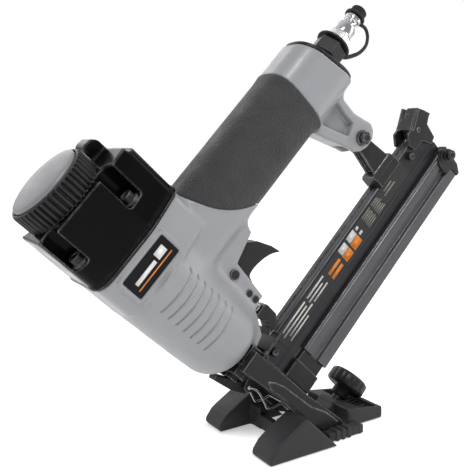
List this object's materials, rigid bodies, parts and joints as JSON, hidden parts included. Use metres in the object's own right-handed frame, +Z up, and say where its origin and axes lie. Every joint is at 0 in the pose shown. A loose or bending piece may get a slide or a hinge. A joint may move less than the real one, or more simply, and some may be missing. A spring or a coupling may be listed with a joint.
{
  "type": "pneumatic brad nailer",
  "caption": "Air-powered brad nailer for flooring, leaning at 45 degrees on a clamped floor shoe, with a round head, rubber-gripped handle, finger trigger and a slanted sliding magazine.",
  "frame": {"origin": "centre of the tool's outline on the floor, under the middle of its bounding box", "axes": "+Z up from the floor the shoe stands on; +X towards the air plug and the rear of the magazine; +Y towards the far side, away from the side with the rail label. The driver axis leans 45 degrees forward of upright, in the plane y = 0"},
  "size_m": [0.3404, 0.086, 0.2956],
  "materials": {
    "cast_grey": "satin light grey paint on a magnesium casting",
    "black_badge": "gloss",
    "grip_rubber": "grained, matt",
    "black_plastic": "matt",
    "black_steel": "black oxide, satin",
    "bright_steel": "polished plate",
    "black_rubber": "matt",
    "gloss_black": "gloss black",
    "satin_alloy": "satin",
    "white_plastic": "moulded",
    "tool_steel": "ground",
    "dark_anodised": "dark anodised",
    "label_film": "printed film",
    "grey_anodised": "grey anodised",
    "shoe_plastic": "moulded texture, matt"
  },
  "bodies": {
    "tool": {"housing": "cast_grey", "handle_tube": "cast_grey", "handle_rear": "cast_grey", "cap_flange": "gloss_black", "badge_plate": "black_badge", "grip_sleeve": "grip_rubber", "end_cap": "black_plastic", "inlet_adapter": "black_steel", "air_plug": "bright_steel", "dust_cap_strap": "black_rubber", "head_cap": "gloss_black", "cap_bolts": "black_steel", "cap_gasket": "black_rubber", "deflector_screw": "black_steel", "head_valve_spring": "bright_steel", "cylinder_sleeve": "satin_alloy", "sleeve_seals": "black_rubber", "bumper": "black_rubber", "trigger_pin": "black_steel", "trigger_valve_body": "black_steel", "valve_spring": "bright_steel", "guide_pins": "black_steel", "nose_block": "black_steel", "nose_bolts": "black_steel", "driver_guide": "black_steel", "guide_plate_pin": "tool_steel", "safety_spring": "bright_steel", "base_frame": "black_steel", "magazine_rail": "dark_anodised", "rail_label": "label_film", "catch_screws": "black_steel", "hanger_bracket": "black_steel", "hanger_bolt": "black_steel", "magazine_latch_pin": "tool_steel"},
    "deflector": {"exhaust_deflector": "black_plastic", "deflector_disc": "satin_alloy"},
    "head_valve": {"head_valve": "white_plastic", "head_valve_seals": "black_rubber"},
    "piston": {"piston": "satin_alloy", "piston_ring": "black_rubber", "driver_blade": "tool_steel"},
    "trigger": {"trigger": "black_plastic"},
    "valve_stem": {"valve_stem": "tool_steel"},
    "safety": {"work_contact": "black_steel", "safety_arm": "black_steel"},
    "front_plate": {"front_guide_plate": "black_steel", "latch_wire": "bright_steel", "nose_latch_pin": "tool_steel"},
    "latch_lever": {"nose_latch_lever": "black_steel"},
    "shoe": {"shoe": "shoe_plastic"},
    "knob": {"clamp_knob": "black_plastic", "knob_stud": "tool_steel"},
    "magazine": {"magazine_channel": "grey_anodised", "magazine_front": "black_steel", "magazine_end": "black_plastic", "magazine_screws": "black_steel", "pusher_spring": "bright_steel"},
    "pusher": {"pusher": "tool_steel"},
    "magazine_latch": {"magazine_latch": "black_steel"},
    "dust_cap": {"dust_cap": "black_rubber"}
  },
  "joints": [
    {"name": "deflector_turn", "type": "hinge", "parent": "tool", "child": "deflector", "pos_m": [-0.14621, 0, 0.18031], "axis": [-0.7071, 0, 0.7071], "continuous": true},
    {"name": "head_valve_lift", "type": "slide", "parent": "tool", "child": "head_valve", "axis": [-0.7071, 0, 0.7071], "range_m": [0, 0.004], "stiffness_N_per_m": 2000, "springref_m": -0.006, "deforming": ["head_valve_spring"]},
    {"name": "piston_stroke", "type": "slide", "parent": "tool", "child": "piston", "axis": [0.7071, 0, -0.7071], "range_m": [0, 0.064]},
    {"name": "trigger_pull", "type": "hinge", "parent": "tool", "child": "trigger", "pos_m": [-0.03647, 0, 0.11964], "axis": [0, -1, 0], "range_deg": [0, 10], "stiffness_Nm_per_rad": 0.2, "springref_deg": -17.19},
    {"name": "valve_stem_push", "type": "slide", "parent": "tool", "child": "valve_stem", "axis": [-0.7071, 0, 0.7071], "range_m": [0, 0.003], "stiffness_N_per_m": 200, "springref_m": -0.003, "deforming": ["valve_spring"]},
    {"name": "safety_press", "type": "slide", "parent": "tool", "child": "safety", "axis": [-0.7071, 0, 0.7071], "range_m": [0, 0.0045], "stiffness_N_per_m": 400, "springref_m": -0.012, "deforming": ["safety_spring"]},
    {"name": "front_plate_open", "type": "hinge", "parent": "tool", "child": "front_plate", "pos_m": [0.0259, 0, 0.00311], "axis": [0, -1, 0], "range_deg": [0, 22]},
    {"name": "latch_lever_open", "type": "hinge", "parent": "front_plate", "child": "latch_lever", "pos_m": [-0.02494, 0, 0.03995], "axis": [0, -1, 0], "range_deg": [0, 90]},
    {"name": "shoe_slide", "type": "slide", "parent": "tool", "child": "shoe", "axis": [-0.7071, 0, 0.7071], "range_m": [-0.006, 0]},
    {"name": "knob_turn", "type": "hinge", "parent": "shoe", "child": "knob", "pos_m": [0.06451, 0, 0.02192], "axis": [0.7071, 0, 0.7071], "continuous": true},
    {"name": "magazine_slide", "type": "slide", "parent": "tool", "child": "magazine", "axis": [0.7071, 0, 0.7071], "range_m": [0, 0.11]},
    {"name": "pusher_travel", "type": "slide", "parent": "magazine", "child": "pusher", "axis": [0.7071, 0, 0.7071], "range_m": [0, 0.1], "stiffness_N_per_m": 30, "springref_m": -0.12, "deforming": ["pusher_spring"]},
    {"name": "magazine_latch_press", "type": "hinge", "parent": "tool", "child": "magazine_latch", "pos_m": [0.12885, 0, 0.20789], "axis": [0, -1, 0], "range_deg": [0, 15], "stiffness_Nm_per_rad": 0.3, "springref_deg": -14.32},
    {"name": "dust_cap_pull", "type": "slide", "parent": "tool", "child": "dust_cap", "axis": [0.7071, 0, 0.7071], "range_m": [0, 0.02], "deforming": ["dust_cap_strap"]}
  ],
  "couplings": [
    {"joint": "valve_stem_push", "follows": "trigger_pull", "m_per_rad": 0.0165}
  ]
}
